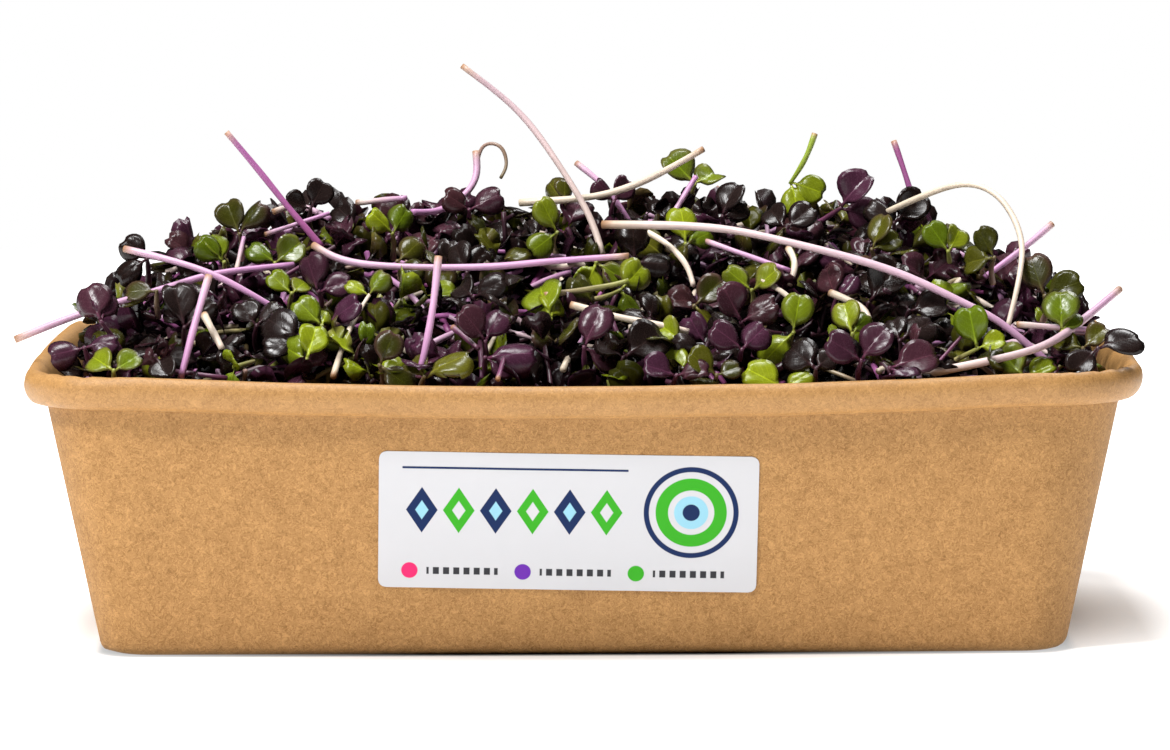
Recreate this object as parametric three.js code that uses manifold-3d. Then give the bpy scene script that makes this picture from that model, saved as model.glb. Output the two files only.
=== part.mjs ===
// Purple microgreens heaped in a kraft paper tub.
// Millimetres, +Z up. The origin is on the surface that the tub stands on, under its middle.
// X runs along the tub's length and the front, which carries the sticker, faces -Y.

import * as THREE from "three";
import { mergeVertices } from "three/addons/utils/BufferGeometryUtils.js";
import Module from "manifold-3d";

const wasm = await Module();
wasm.setup();

// ---- Driving dimensions ----

const GAP = 0.3; // clearance between pieces that touch

// The tub
const TUB_HEIGHT = 43.6;
const FOOT_HALF = { x: 73.8, y: 48.7 }; // outside of the wall where it stands
const WALL_TOP_HALF = { x: 82.6, y: 55.4 }; // outside of the wall at the height of the bead's centre
const FOOT_CORNER = 7.5;
const TOP_CORNER = 15;
const FOOT_BOW = { x: 0.2, y: 0.4 }; // how far the sides bulge outward in their middle
const TOP_BOW = { x: 0.6, y: 2.4 };
const RIM_SAG = 1.4; // how far the rim dips in the middle of the long sides
const BOARD = 0.5;
const BEAD_RADIUS = 2.55; // half the height of the rolled rim
const BEAD_REACH = 1.75; // and half its depth, as the roll is pressed flatter outward
const BEAD_CENTRE = TUB_HEIGHT - BEAD_RADIUS;
const HEM_HEIGHT = 5.2;
const BASE_TOP = 6.6;

// The sticker
const STICKER = { width: 57.5, height: 21.5, thickness: 0.15, x: -2.5, z: 20.9, turn: -1.2 };

// The heap
const HEAP_BOTTOM = BASE_TOP + GAP;
const HEAP_EDGE = 38.5; // height of the packed heap along the wall
const HEAP_RISE = 22.5; // and how much higher it is in the middle
const HEAP_HALF = { x: 81, y: 56 };

// The sprouts
const STEM_SIDES = 6;
const LEAF_THICKNESS = 0.6;

// ---- Materials ----

function paint(color, roughness) {
  return new THREE.MeshStandardMaterial({ color, roughness, metalness: 0 });
}

const COLORS = {
  kraft: 0xcf9f66,
  paper: 0xececee,
  heap: 0x2a1a26,
  pink: 0xc98bc4,
  cream: 0xe9dcc8,
  purple: 0x47284a,
  black: 0x2a1d29,
  green: 0x5f8a2c,
  olive: 0x4a5a2a,
};

// ---- The tub's outline ----

const CORNER_STEPS = 4;
const LONG_STEPS = 6;
const SHORT_STEPS = 3;

// The stops of one round of the outline, from which every level of the tub takes its points: the
// side or corner arc that a point is on, and how far along it.
function outlineStops() {
  const stops = [];
  const sides = [LONG_STEPS, SHORT_STEPS, LONG_STEPS, SHORT_STEPS];
  sides.forEach((steps, side) => {
    for (let k = 1; k < steps; k += 1) stops.push({ side, along: (2 * k) / steps - 1 });
    for (let k = 0; k <= CORNER_STEPS; k += 1) stops.push({ corner: side, turn: k / CORNER_STEPS });
  });
  return stops;
}

const STOPS = outlineStops();

function mix(a, b, t) {
  return a + (b - a) * t;
}

// Where the outside of the wall runs at a height: half sizes, corner radius, bow and sag.
function level(z) {
  const t = z / BEAD_CENTRE;
  return {
    x: mix(FOOT_HALF.x, WALL_TOP_HALF.x, t),
    y: mix(FOOT_HALF.y, WALL_TOP_HALF.y, t),
    corner: mix(FOOT_CORNER, TOP_CORNER, t),
    bowX: mix(FOOT_BOW.x, TOP_BOW.x, t),
    bowY: mix(FOOT_BOW.y, TOP_BOW.y, t),
    sag: RIM_SAG * Math.max(t, 0),
  };
}

// The point at one stop of the outline, at a height and an offset outward from the wall's outside.
function outlinePoint(stop, z, outward) {
  const at = level(z);
  const radius = Math.max(at.corner + outward, 1);
  const straight = { x: at.x + outward - radius, y: at.y + outward - radius };
  const signs = [[1, -1], [1, 1], [-1, 1], [-1, -1]][stop.corner ?? stop.side];
  if (stop.corner !== undefined) {
    const angle = (Math.PI / 2) * (stop.corner - 1 + stop.turn);
    const x = signs[0] * straight.x + radius * Math.cos(angle);
    const y = signs[1] * straight.y + radius * Math.sin(angle);
    return new THREE.Vector3(x, y, z);
  }
  const bulge = 1 - stop.along ** 2;
  if (stop.side % 2 === 0) {
    const facing = stop.side === 0 ? -1 : 1;
    const y = facing * (at.y + outward + at.bowY * bulge);
    return new THREE.Vector3(-facing * stop.along * straight.x, y, z - at.sag * bulge);
  }
  const facing = stop.side === 1 ? 1 : -1;
  return new THREE.Vector3(facing * (at.x + outward + at.bowX * bulge), facing * stop.along * straight.y, z);
}

// ---- Helpers that turn geometry into solids and back ----

function solidOf(geometry) {
  const bare = geometry.index ? geometry.toNonIndexed() : geometry.clone();
  const merged = mergeVertices(
    new THREE.BufferGeometry().setAttribute("position", bare.getAttribute("position")),
    1e-4,
  );
  const corners = merged.index.array;
  const triVerts = [];
  for (let k = 0; k < corners.length; k += 3) {
    const [a, b, c] = corners.subarray(k, k + 3);
    if (a !== b && b !== c && c !== a) triVerts.push(a, b, c);
  }
  return new wasm.Manifold(
    new wasm.Mesh({
      numProp: 3,
      vertProperties: merged.attributes.position.array,
      triVerts: new Uint32Array(triVerts),
    }),
  );
}

function geometryOf(solid) {
  const { vertProperties, triVerts } = solid.getMesh();
  const geometry = new THREE.BufferGeometry();
  geometry.setAttribute("position", new THREE.BufferAttribute(vertProperties, 3));
  geometry.setIndex(new THREE.BufferAttribute(triVerts, 1));
  const flat = geometry.toNonIndexed();
  flat.computeVertexNormals();
  return flat;
}

// A lathe whose turns are laid onto the tub's outline. Each profile point holds a height, an offset
// outward from the wall's outside and a reach: 1 at the wall and 0 on the axis. A lift function may
// raise the points afterwards.
function outlineLathe(profile, lift = (point) => point.z) {
  const rounds = STOPS.length;
  const lathe = new THREE.LatheGeometry(profile.map((p) => new THREE.Vector2(p.reach, p.z)), rounds);
  const position = lathe.getAttribute("position");
  for (let round = 0; round <= rounds; round += 1) {
    profile.forEach((p, k) => {
      const point = outlinePoint(STOPS[round % rounds], p.z, p.outward);
      point.x *= p.reach;
      point.y *= p.reach;
      point.z = p.reach === 1 ? point.z : p.z;
      if (p.raised) point.z = lift(point);
      position.setXYZ(round * profile.length + k, point.x, point.y, point.z);
    });
  }
  return lathe;
}

const group = new THREE.Group();

function addPiece(name, geometry, color, roughness) {
  const mesh = new THREE.Mesh(geometry, paint(color, roughness));
  mesh.name = name;
  group.add(mesh);
}

// ---- Tub wall: the band of board with its rolled rim and its folded hem ----

const BEAD_OUTWARD = BEAD_REACH - BOARD; // the bead's inner side is flush with the wall's inside
const HEM_INNER = 2 * GAP + 3 * BOARD;
const CURL_STEPS = 9;
const CURL_TURN = 1.6 * Math.PI; // the board rolls through this much of a circle
const WALL_STEPS = 3;

function wallPoint(outward, z) {
  return { outward, z, reach: 1 };
}

// The curl's points on its outer face, or at an inset on its inner one, from the wall's side over the
// top to the tucked-in edge.
function curl(inset) {
  const points = [];
  for (let k = 0; k <= CURL_STEPS; k += 1) {
    const angle = Math.PI - (CURL_TURN * k) / CURL_STEPS;
    const outward = BEAD_OUTWARD + (BEAD_REACH - inset) * Math.cos(angle);
    points.push(wallPoint(outward, BEAD_CENTRE + (BEAD_RADIUS - inset) * Math.sin(angle)));
  }
  return points;
}

function wallProfile() {
  const outside = [];
  const inside = [];
  for (let k = 0; k <= WALL_STEPS; k += 1) {
    const t = k / WALL_STEPS;
    outside.push(wallPoint(0, mix(0, BEAD_CENTRE - BEAD_RADIUS, t)));
    inside.push(wallPoint(-BOARD, mix(BEAD_CENTRE - BEAD_RADIUS, BOARD, t)));
  }
  const hem = [
    wallPoint(BOARD - HEM_INNER, BOARD),
    wallPoint(BOARD - HEM_INNER, HEM_HEIGHT),
    wallPoint(-HEM_INNER, HEM_HEIGHT),
    wallPoint(-HEM_INNER, 0),
  ];
  const innerCurl = curl(BOARD);
  const outerCurl = curl(0).reverse();
  return [...outside, ...innerCurl, ...outerCurl, ...inside, ...hem, outside[0]];
}

addPiece("tub_wall", outlineLathe(wallProfile()), COLORS.kraft, 0.8);

// ---- Tub base: the recessed panel and the edge that the hem holds ----

const SKIRT_OUTER = -(BOARD + GAP);
const SKIRT_INNER = SKIRT_OUTER - BOARD;
const SKIRT_FOOT = BOARD + GAP;

const baseProfile = [
  { outward: SKIRT_INNER, z: BASE_TOP - BOARD, reach: 0 },
  { outward: SKIRT_INNER, z: BASE_TOP - BOARD, reach: 1 },
  { outward: SKIRT_INNER, z: SKIRT_FOOT, reach: 1 },
  { outward: SKIRT_OUTER, z: SKIRT_FOOT, reach: 1 },
  { outward: SKIRT_OUTER, z: BASE_TOP, reach: 1 },
  { outward: SKIRT_OUTER, z: BASE_TOP, reach: 0 },
];

addPiece("tub_base", geometryOf(solidOf(outlineLathe(baseProfile))), COLORS.kraft, 0.85);

// ---- Sticker: a thin sheet that follows the front wall ----

function frontWall(x, z) {
  const at = level(z);
  const bulge = 1 - (x / (at.x - at.corner)) ** 2;
  return -(at.y + at.bowY * bulge);
}

function stickerGeometry() {
  const { width, height, thickness, turn } = STICKER;
  const sheet = new THREE.BoxGeometry(width, thickness, height, 8, 1, 3);
  sheet.rotateY(THREE.MathUtils.degToRad(-turn));
  sheet.translate(STICKER.x, 0, 0);
  const slope = Math.atan2(WALL_TOP_HALF.y - FOOT_HALF.y, BEAD_CENTRE);
  const position = sheet.getAttribute("position");
  for (let k = 0; k < position.count; k += 1) {
    const x = position.getX(k);
    const z = STICKER.z + position.getZ(k) * Math.cos(slope);
    position.setXYZ(k, x, frontWall(x, z) - GAP - thickness / 2 + position.getY(k), z);
  }
  return sheet;
}

addPiece("front_sticker", stickerGeometry(), COLORS.paper, 0.45);

// ---- Sprouts: a stem along a route, and for most of them a pair of seed leaves at its tip ----

// A rod of one radius along a route of [x, y, z] points.
function stemGeometry(route, radius, steps) {
  const curve = new THREE.CatmullRomCurve3(route.map((p) => new THREE.Vector3(...p)));
  const section = new THREE.Shape();
  for (let k = 0; k < STEM_SIDES; k += 1) {
    const angle = (2 * Math.PI * k) / STEM_SIDES;
    const corner = [radius * Math.cos(angle), radius * Math.sin(angle)];
    if (k === 0) section.moveTo(...corner);
    else section.lineTo(...corner);
  }
  section.closePath();
  return new THREE.ExtrudeGeometry(section, { steps, extrudePath: curve, curveSegments: 1 });
}

// A heart-shaped seed leaf of length 1 that grows along +X from the origin, seen from above.
function leafOutline(length, margin) {
  const leaf = new THREE.Shape();
  const halfWidth = 0.52 * length + margin;
  const tip = length + margin;
  leaf.moveTo(-margin, 0);
  leaf.bezierCurveTo(0.1 * length, -0.25 * length, 0.2 * length, -halfWidth, 0.62 * length, -halfWidth);
  leaf.bezierCurveTo(tip, -halfWidth, tip + 0.06 * length, -0.12 * length, 0.88 * length, 0);
  leaf.bezierCurveTo(tip + 0.06 * length, 0.12 * length, tip, halfWidth, 0.62 * length, halfWidth);
  leaf.bezierCurveTo(0.2 * length, halfWidth, 0.1 * length, 0.25 * length, -margin, 0);
  return leaf;
}

// A leaf faces the front; `turn` swings it in that plane (0 right, 90 up), `tilt` leans its face up
// and `yaw` turns it about the vertical.
function leafGeometry(leaf, tip, margin) {
  const [length, turn, tilt, yaw] = leaf;
  const depth = LEAF_THICKNESS + 2 * margin;
  const blade = new THREE.ExtrudeGeometry(leafOutline(length, margin), {
    depth,
    bevelEnabled: false,
    curveSegments: 3,
  });
  blade.translate(0, 0, -depth / 2);
  blade.rotateX(Math.PI / 2);
  blade.rotateY(THREE.MathUtils.degToRad(-turn));
  blade.rotateX(THREE.MathUtils.degToRad(-tilt));
  blade.rotateZ(THREE.MathUtils.degToRad(yaw));
  blade.translate(...tip);
  return blade;
}

function sproutSolid(sprout, margin) {
  const tip = sprout.route.at(-1);
  const steps = sprout.steps ?? 3 * (sprout.route.length - 1);
  let solid = solidOf(stemGeometry(sprout.route, sprout.radius + margin, steps));
  for (const leaf of sprout.leaves ?? []) solid = solid.add(solidOf(leafGeometry(leaf, tip, margin)));
  return solid;
}

// The bare stems that lie over the heap, from one cut end to the other.
const bareStems = [
  {
    name: "stem_tall_arch",
    color: "pink",
    radius: 0.54,
    route: [[-19, -6, 88], [-10, -8, 81], [-4, -12, 73], [1, -15, 65], [3, -18, 59]],
  },
  {
    name: "stem_magenta_left",
    color: "pink",
    radius: 0.54,
    route: [[-56, -12, 78], [-51, -12, 72], [-47, -13, 67], [-41, -15, 60]],
  },
  {
    name: "stem_pink_left",
    color: "pink",
    radius: 0.54,
    route: [[-71, -30, 61], [-58, -35, 58], [-47, -37, 52]],
  },
  {
    name: "stem_long_left",
    color: "pink",
    radius: 0.61,
    route: [[-88, -30, 47], [-78, -31, 51], [-64, -30, 55], [-57, -28, 57], [-45, -25, 58]],
  },
  {
    name: "stem_pink_middle",
    color: "pink",
    radius: 0.58,
    route: [[-42, -24, 61], [-38, -27, 59], [-31, -29, 58], [-15, -32, 58], [-6, -34, 59], [7, -36, 60]],
  },
  {
    name: "stem_upright_left",
    color: "pink",
    radius: 0.61,
    route: [[-57, -46, 58], [-59, -50, 51], [-61, -53, 43]],
  },
  {
    name: "stem_upright_middle",
    color: "pink",
    radius: 0.61,
    route: [[-22, -49, 61], [-23, -52, 52], [-25, -54, 43]],
  },
  {
    name: "stem_white_top",
    color: "cream",
    radius: 0.61,
    route: [[-10, -2, 66], [1, -6, 67], [8, -8, 69], [14, -10, 72], [19, -12, 75]],
  },
  {
    name: "stem_long_right",
    color: "pink",
    radius: 0.65,
    route: [[3, -24, 64], [20, -30, 64], [31, -34, 62], [47, -38, 58], [58, -42, 53], [64, -44, 50], [72, -45, 43]],
  },
  {
    name: "stem_cream_arch",
    color: "cream",
    radius: 0.5,
    route: [[48, -12, 65], [54, -16, 68], [60, -20, 70], [65, -24, 68], [68, -29, 62], [67, -36, 56], [65, -40, 49]],
  },
  {
    name: "stem_pink_right",
    color: "pink",
    radius: 0.54,
    route: [[74, -12, 63], [69, -14, 59], [63, -17, 55]],
  },
  {
    name: "stem_thick_right",
    color: "cream",
    radius: 0.68,
    route: [[83, -30, 54], [76, -42, 50], [70, -50, 47], [61, -53, 45], [51, -53, 43]],
  },
  {
    name: "stem_purple_back",
    color: "pink",
    radius: 0.5,
    route: [[50, 8, 75], [52, 6, 69], [54, 5, 62]],
  },
  {
    name: "stem_pink_top",
    color: "pink",
    radius: 0.5,
    route: [[-1, 3, 72], [4, 0, 68], [8, -2, 62]],
  },
  {
    name: "stem_cream_low",
    color: "cream",
    radius: 0.58,
    route: [[-2, -42, 53], [6, -44, 51], [12, -45, 50], [16, -45, 49]],
  },
];

// The sprouts whose leaves show at the surface: a route from the cut end up to the leaves, and for
// each leaf its length, turn, tilt and yaw.
const leafedSprouts = [
  { name: "sprout_far_left", color: "purple", route: [[-64, -38, 43], [-70, -38, 48], [-73, -37, 51]],
    leaves: [[6, 128, 25, 10], [6, 60, 20, -20]] },
  { name: "sprout_left_corner", color: "black", route: [[-69, -48, 40], [-74, -47, 43], [-76, -46, 46]],
    leaves: [[6, 150, 30, 0], [5.5, 45, 35, 0]] },
  { name: "sprout_left_green", color: "olive", route: [[-60, -16, 50], [-59, -17, 56], [-58, -18, 60]],
    leaves: [[6, 70, 35, 0], [5.5, 185, 40, 0]] },
  { name: "sprout_purple_left", color: "purple", route: [[-36, -38, 44], [-38, -36, 50], [-39, -34, 55]],
    leaves: [[6.5, 145, 20, 0], [6, 55, 25, 0]] },
  { name: "sprout_lime_left", color: "green", route: [[-38, -52, 42], [-40, -49, 45], [-41, -47, 48]],
    leaves: [[5.5, 195, 15, 0], [6, 85, 20, 0]] },
  { name: "sprout_cream_left", color: "green", route: [[-37, -53, 43], [-34, -46, 49], [-32, -40, 54]],
    leaves: [[5.5, 110, 30, 0], [4.5, 20, 40, 0]] },
  { name: "sprout_green_low", color: "green", route: [[-27, -51, 41], [-29, -51, 44], [-30, -50, 46]],
    leaves: [[4.5, 80, 16, 8], [4.5, 280, 6, -8]] },
  { name: "sprout_black_middle", color: "black", route: [[-16, -30, 48], [-17, -27, 54], [-18, -25, 57]],
    leaves: [[5.5, 125, 15, 0], [6, 50, 20, 0]] },
  { name: "sprout_hearts", color: "purple", route: [[-14, -50, 41], [-14, -47, 45], [-14, -45, 48]],
    leaves: [[6, 130, 15, 0], [6, 40, 25, 0]] },
  { name: "sprout_glossy_middle", color: "purple", route: [[-8, -52, 40], [-9, -52, 43], [-10, -51, 46]],
    leaves: [[5.5, 150, 20, 0], [5, 30, 20, 0]] },
  { name: "sprout_green_crest", color: "green", route: [[-3, -20, 53], [-4, -17, 58], [-4, -15, 61]],
    leaves: [[5.5, 125, 20, 0], [4.5, 20, 40, 0]] },
  { name: "sprout_green_top", color: "green", route: [[12, 10, 60], [15, 9, 65], [17, 8, 70]],
    leaves: [[5, 130, 45, 0], [6, 25, 35, 0]] },
  { name: "sprout_green_centre", color: "green", route: [[22, -40, 47], [23, -34, 53], [23, -30, 56]],
    leaves: [[4.5, 150, 20, 0], [5, 45, 25, 0]] },
  { name: "sprout_purple_centre", color: "purple", route: [[25, -48, 42], [24, -44, 46], [24, -41, 49]],
    leaves: [[6, 120, 10, 0], [6, 35, 15, 0]] },
  { name: "sprout_lime_right", color: "green", route: [[34, -52, 41], [32, -51, 45], [31, -49, 48]],
    leaves: [[6, 60, 16, 8], [5, 250, 6, -8]] },
  { name: "sprout_mottled", color: "olive", route: [[17, -53, 40], [16, -52, 44], [15, -51, 47]],
    leaves: [[5.5, 160, 15, 0], [5.5, 15, 20, 0]] },
  { name: "sprout_purple_right", color: "purple", route: [[40, -54, 39], [42, -52, 42], [42, -51, 45]],
    leaves: [[6.5, 110, 10, 0], [6, 15, 15, 0]] },
  { name: "sprout_dark_right", color: "black", route: [[48, -25, 48], [46, -20, 55], [45, -17, 60]],
    leaves: [[5.5, 110, 30, 0], [5.5, 30, 30, 0]] },
  { name: "sprout_right_crest", color: "purple", route: [[42, -4, 58], [44, -2, 62], [45, -1, 65]],
    leaves: [[6, 105, 20, 0], [5.5, 350, 20, 0]] },
  { name: "sprout_curled_right", color: "green", route: [[27, -8, 58], [31, -8, 64], [37, -7, 73]],
    leaves: [[4, 95, 40, 0], [3.5, 200, 40, 0]] },
  { name: "sprout_right_green", color: "green", route: [[54, -50, 42], [57, -48, 45], [59, -47, 47]],
    leaves: [[4.5, 120, 15, 0], [5, 40, 20, 0]] },
  { name: "sprout_right_dark_low", color: "black", route: [[68, -30, 46], [70, -29, 51], [71, -28, 54]],
    leaves: [[5.5, 130, 20, 0], [5.5, 30, 25, 0]] },
  { name: "sprout_over_rim", color: "black", route: [[75, -38, 42], [77, -39, 46], [79, -40, 47]],
    leaves: [[6, 20, 40, 0], [5.5, 230, 30, 0]] },
  { name: "sprout_back_left", color: "olive", route: [[-45, 30, 44], [-47, 31, 50], [-48, 32, 54]],
    leaves: [[6, 125, 130, 0], [6, 40, 140, 0]] },
  { name: "sprout_back_middle", color: "purple", route: [[4, 35, 44], [3, 37, 50], [2, 38, 54]],
    leaves: [[6, 120, 130, 0], [6, 45, 140, 0]] },
  { name: "sprout_back_right", color: "green", route: [[46, 30, 44], [48, 31, 49], [49, 32, 53]],
    leaves: [[5.5, 135, 130, 0], [6, 30, 135, 0]] },
  { name: "sprout_crest_left", color: "olive", route: [[-28, -4, 57], [-30, -5, 61], [-30, -6, 63]],
    leaves: [[5.5, 145, 25, 0], [5, 45, 30, 0]] },
];

const LEAFED_STEM_RADIUS = 0.5;
for (const sprout of leafedSprouts) sprout.radius = LEAFED_STEM_RADIUS;
const sprouts = [...bareStems, ...leafedSprouts];

for (const sprout of sprouts) {
  addPiece(sprout.name, geometryOf(sproutSolid(sprout, 0)), COLORS[sprout.color], 0.4);
}

// ---- Packed heap: the body of pressed sprouts that fills the tub, with a socket for each sprout ----

const HEAP_RINGS = [1, 0.9, 0.76, 0.6, 0.42, 0.22];

function heapHeight(point) {
  const alongX = 1 - Math.min(Math.abs(point.x) / HEAP_HALF.x, 1) ** 4;
  const alongY = 1 - Math.min(Math.abs(point.y) / HEAP_HALF.y, 1) ** 1.3;
  const lumps = Math.sin(point.x * 0.17 + 1) * Math.cos(point.y * 0.21);
  return HEAP_EDGE + (HEAP_RISE + lumps) * alongX * alongY;
}

function heapProfile() {
  const inside = -(BOARD + 2 * GAP);
  const profile = [
    { outward: inside, z: HEAP_BOTTOM, reach: 0 },
    { outward: inside, z: HEAP_BOTTOM, reach: 1 },
    { outward: inside, z: HEAP_EDGE - 1, reach: 1 },
  ];
  for (const reach of HEAP_RINGS) {
    profile.push({ outward: inside, z: HEAP_EDGE, reach: Math.min(reach, 0.995), raised: true });
  }
  profile.push({ outward: inside, z: HEAP_EDGE, reach: 0, raised: true });
  return profile;
}

let heap = solidOf(outlineLathe(heapProfile(), heapHeight));
for (const sprout of sprouts) heap = heap.subtract(sproutSolid(sprout, GAP));
const largest = heap.decompose().sort((a, b) => b.volume() - a.volume())[0];
addPiece("packed_greens", geometryOf(largest), COLORS.heap, 0.9);

export default group;
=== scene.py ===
import math

import bpy
import numpy as np
from mathutils import Euler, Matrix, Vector


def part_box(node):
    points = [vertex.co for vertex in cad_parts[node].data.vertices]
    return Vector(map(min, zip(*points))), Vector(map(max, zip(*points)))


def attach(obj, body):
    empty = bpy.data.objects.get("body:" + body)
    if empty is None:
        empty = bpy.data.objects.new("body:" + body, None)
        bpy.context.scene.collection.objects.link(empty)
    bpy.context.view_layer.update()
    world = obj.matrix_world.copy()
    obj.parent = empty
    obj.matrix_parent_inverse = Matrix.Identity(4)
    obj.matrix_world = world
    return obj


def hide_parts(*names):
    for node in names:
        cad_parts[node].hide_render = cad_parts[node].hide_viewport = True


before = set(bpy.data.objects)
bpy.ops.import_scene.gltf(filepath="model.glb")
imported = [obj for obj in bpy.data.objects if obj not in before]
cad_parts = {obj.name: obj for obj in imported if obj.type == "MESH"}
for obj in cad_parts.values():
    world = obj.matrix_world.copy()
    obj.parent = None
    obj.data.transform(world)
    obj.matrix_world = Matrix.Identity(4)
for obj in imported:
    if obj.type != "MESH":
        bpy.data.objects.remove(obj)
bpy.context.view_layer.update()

MM = 0.001
scene = bpy.context.scene
scene.view_settings.view_transform = "Standard"

# ---- Camera, floor and light ----
# A long lens a metre in front of the tub, a white sweep and three soft lamps. The camera looks down
# by about five degrees.
LENS = 193.4
SENSOR = 36.0
CAMERA_PLACE = (-1.95 * MM, -1.0, 131.9 * MM)
LOOK_DOWN, CAMERA_ROLL, CAMERA_YAW = 5.35, 0.25, -0.15
camera_data = bpy.data.cameras.new("camera")
camera_data.lens = LENS
camera_data.sensor_width = SENSOR
camera_data.clip_start = 0.05
camera_data.clip_end = 20.0
camera = bpy.data.objects.new("camera", camera_data)
camera.location = CAMERA_PLACE
turns = [math.radians(angle) for angle in (90 - LOOK_DOWN, CAMERA_ROLL, CAMERA_YAW)]
camera.rotation_euler = Euler(turns, "XYZ")
scene.collection.objects.link(camera)
scene.camera = camera


class Wire:
    """A shader socket that adds Math nodes when it is used in an expression."""

    def __init__(self, tree, socket=None):
        self.tree = tree
        self.socket = socket

    def node(self, kind, settings=None, inputs=None, output=0):
        made = self.tree.nodes.new(kind)
        for key, value in (settings or {}).items():
            setattr(made, key, value)
        for key, value in (inputs or {}).items():
            if isinstance(value, Wire):
                self.tree.links.new(value.socket, made.inputs[key])
            else:
                made.inputs[key].default_value = value
        return Wire(self.tree, made.outputs[output])

    def maths(self, operation, first, second=0.0, clamp=False):
        settings = {"operation": operation, "use_clamp": clamp}
        return self.node("ShaderNodeMath", settings, {0: first, 1: second})

    def __add__(self, other):
        return self.maths("ADD", self, other)

    def __radd__(self, other):
        return self.maths("ADD", other, self)

    def __sub__(self, other):
        return self.maths("SUBTRACT", self, other)

    def __rsub__(self, other):
        return self.maths("SUBTRACT", other, self)

    def __mul__(self, other):
        return self.maths("MULTIPLY", self, other)

    def __rmul__(self, other):
        return self.maths("MULTIPLY", other, self)

    def __truediv__(self, other):
        return self.maths("DIVIDE", self, other)

    def __rtruediv__(self, other):
        return self.maths("DIVIDE", other, self)

    def vector(self, operation, other=(0.0, 0.0, 0.0), output="Vector"):
        return self.node("ShaderNodeVectorMath", {"operation": operation}, {0: self, 1: other}, output)

    def scaled(self, factor):
        return self.node("ShaderNodeVectorMath", {"operation": "SCALE"}, {0: self, "Scale": factor})

    def power(self, exponent):
        return self.maths("POWER", self, exponent)

    def size(self):
        return self.maths("ABSOLUTE", self)

    def clamped(self):
        return self.maths("ADD", self, 0.0, clamp=True)

    def ramp(self, low, high, to_low=0.0, to_high=1.0, easing="SMOOTHSTEP"):
        inputs = {"Value": self, "From Min": low, "From Max": high, "To Min": to_low, "To Max": to_high}
        return self.node("ShaderNodeMapRange", {"interpolation_type": easing}, inputs)

    def blend(self, first, second):
        """The colour `first` where this is 0 and `second` where it is 1."""
        inputs = {"Factor": self, "A": first, "B": second}
        return self.node("ShaderNodeMix", {"data_type": "RGBA"}, inputs, "Result")

    def noise(self, scale, detail=2.0, roughness=0.5, distortion=0.0):
        """Noise over this place, with `scale` features per unit."""
        inputs = {"Vector": self, "Scale": scale, "Detail": detail, "Roughness": roughness}
        inputs["Distortion"] = distortion
        return self.node("ShaderNodeTexNoise", {}, inputs, "Fac")

    def bump(self, strength, distance):
        inputs = {"Height": self, "Strength": strength, "Distance": distance}
        return self.node("ShaderNodeBump", {}, inputs, "Normal")

    def attribute(self, name, output):
        return self.node("ShaderNodeAttribute", {"attribute_name": name}, {}, output)

    def feed(self, shader, name):
        self.tree.links.new(self.socket, shader.inputs[name])


def colour(red, green, blue):
    return (red, green, blue, 1.0)


def start_material(name):
    """A new material, its Principled shader and its Object coordinates in millimetres."""
    material = bpy.data.materials.new(name)
    material.use_nodes = True
    shader = material.node_tree.nodes["Principled BSDF"]
    place = Wire(material.node_tree).node("ShaderNodeTexCoord", output="Object")
    return material, shader, place.scaled(1000.0)


FLOOR_SIZE = 1.6
FOOT_HALF = (73.8 * MM, 48.7 * MM)
GLOW_REACH = (152.0, 103.0)
GLOW_START, GLOW_FULL, GLOW_LIGHT = 0.49, 0.66, 0.6
FOOT_INSET = 6.0
CONTACT_WIDTH = 2.4
CONTACT_SHADOW_GREY, FLOOR_GREY = 0.10, 0.85
bpy.ops.object.select_all(action="DESELECT")
bpy.ops.mesh.primitive_plane_add(size=FLOOR_SIZE, location=(0, 0, 0))
floor = bpy.context.active_object
floor.name = "floor"
floor_material, shader, place = start_material("floor")
shader.inputs["Roughness"].default_value = 0.9
shader.inputs["Specular IOR Level"].default_value = 0.1
shader.inputs["Emission Strength"].default_value = 1.0
# The floor glows more the further it lies from the tub's foot: painted light that fades the tub's shadows
# on it and lights the lower wall from below.
spread = place.vector("DIVIDE", (*GLOW_REACH, 1.0)).vector("MULTIPLY", (1.0, 1.0, 0.0))
spread = spread.vector("LENGTH", output="Value")
spread.ramp(GLOW_START, GLOW_FULL, 0.0, GLOW_LIGHT, "LINEAR").feed(shader, "Emission Color")
# A painted contact shadow: the floor's colour darkens in the few millimetres next to the foot, where little
# light gets under its curve.
foot = (FOOT_HALF[0] / MM - FOOT_INSET, FOOT_HALF[1] / MM - FOOT_INSET, 0.0)
gap = place.vector("ABSOLUTE").vector("SUBTRACT", foot).vector("MAXIMUM").vector("LENGTH", output="Value")
painted_contact_shadow = gap.ramp(FOOT_INSET, FOOT_INSET + CONTACT_WIDTH, CONTACT_SHADOW_GREY, FLOOR_GREY)
painted_contact_shadow.feed(shader, "Base Color")
floor.data.materials.append(floor_material)

SKY_LIGHT, SKY_SEEN = 0.05, 1.0
world = bpy.data.worlds.new("studio")
world.use_nodes = True
background = world.node_tree.nodes["Background"]
background.inputs["Color"].default_value = colour(1, 1, 1)
camera_ray = Wire(world.node_tree).node("ShaderNodeLightPath", output="Is Camera Ray")
camera_ray.ramp(0.0, 1.0, SKY_LIGHT, SKY_SEEN, "LINEAR").feed(background, "Strength")
scene.world = world

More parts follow.
